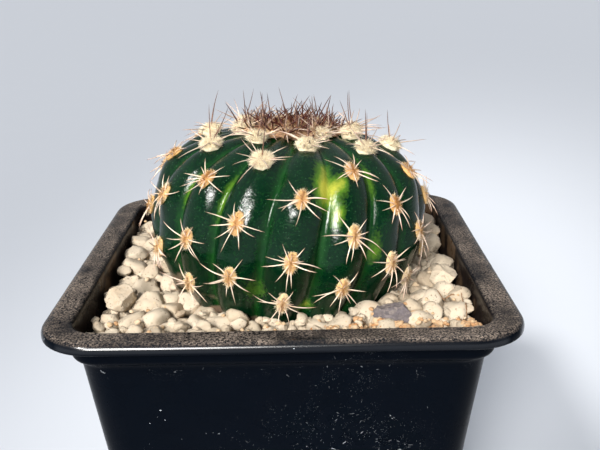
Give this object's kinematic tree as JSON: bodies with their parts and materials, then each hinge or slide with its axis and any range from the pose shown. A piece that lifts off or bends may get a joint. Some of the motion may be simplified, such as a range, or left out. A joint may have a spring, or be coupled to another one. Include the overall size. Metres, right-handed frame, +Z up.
{
  "type": "potted round cactus",
  "caption": "Round ribbed cactus with spiny woolly areoles, growing in a square black nursery pot under a pumice stone dressing.",
  "frame": {"origin": "centre of the pot's base, on the plane that the pot stands on", "axes": "+Z up along the plant's axis, -Y towards the front of the pot, +X to the right"},
  "size_m": [0.09, 0.09, 0.1169],
  "materials": {
    "pot_plastic": "satin",
    "potting_mix": "matte",
    "pumice": "matte",
    "slate": "matte",
    "cactus_skin": "gloss",
    "areole_wool": "matte",
    "crown_wool": "matte"
  },
  "bodies": {
    "root": {"areole_10_1": "areole_wool", "areole_10_2": "areole_wool", "areole_11_1": "areole_wool", "areole_11_2": "areole_wool", "areole_12_1": "areole_wool", "areole_12_2": "areole_wool", "areole_12_3": "areole_wool", "areole_13_1": "areole_wool", "areole_13_2": "areole_wool", "areole_14_1": "areole_wool", "areole_14_2": "areole_wool", "areole_15_1": "areole_wool", "areole_15_2": "areole_wool", "areole_16_1": "areole_wool", "areole_16_2": "areole_wool", "areole_17_1": "areole_wool", "areole_17_2": "areole_wool", "areole_1_1": "areole_wool", "areole_1_2": "areole_wool", "areole_2_1": "areole_wool", "areole_2_2": "areole_wool", "areole_3_1": "areole_wool", "areole_3_2": "areole_wool", "areole_4_1": "areole_wool", "areole_4_2": "areole_wool", "areole_5_1": "areole_wool", "areole_5_2": "areole_wool", "areole_6_1": "areole_wool", "areole_6_2": "areole_wool", "areole_7_1": "areole_wool", "areole_7_2": "areole_wool", "areole_8_1": "areole_wool", "areole_8_2": "areole_wool", "areole_9_1": "areole_wool", "areole_9_2": "areole_wool", "cactus_body": "cactus_skin", "crown_wool_and_spines": "crown_wool", "pot": "pot_plastic", "potting_mix": "potting_mix", "pumice_bed": "pumice", "pumice_stone_left": "pumice", "pumice_stone_right": "pumice", "slate_chip": "slate", "woolly_areole_10_3": "areole_wool", "woolly_areole_11_3": "areole_wool", "woolly_areole_13_3": "areole_wool", "woolly_areole_14_3": "areole_wool", "woolly_areole_15_3": "areole_wool", "woolly_areole_16_3": "areole_wool", "woolly_areole_17_3": "areole_wool", "woolly_areole_1_3": "areole_wool", "woolly_areole_2_3": "areole_wool", "woolly_areole_3_3": "areole_wool", "woolly_areole_4_3": "areole_wool", "woolly_areole_5_3": "areole_wool", "woolly_areole_6_3": "areole_wool", "woolly_areole_7_3": "areole_wool", "woolly_areole_8_3": "areole_wool", "woolly_areole_9_3": "areole_wool"}
  },
  "joints": []
}
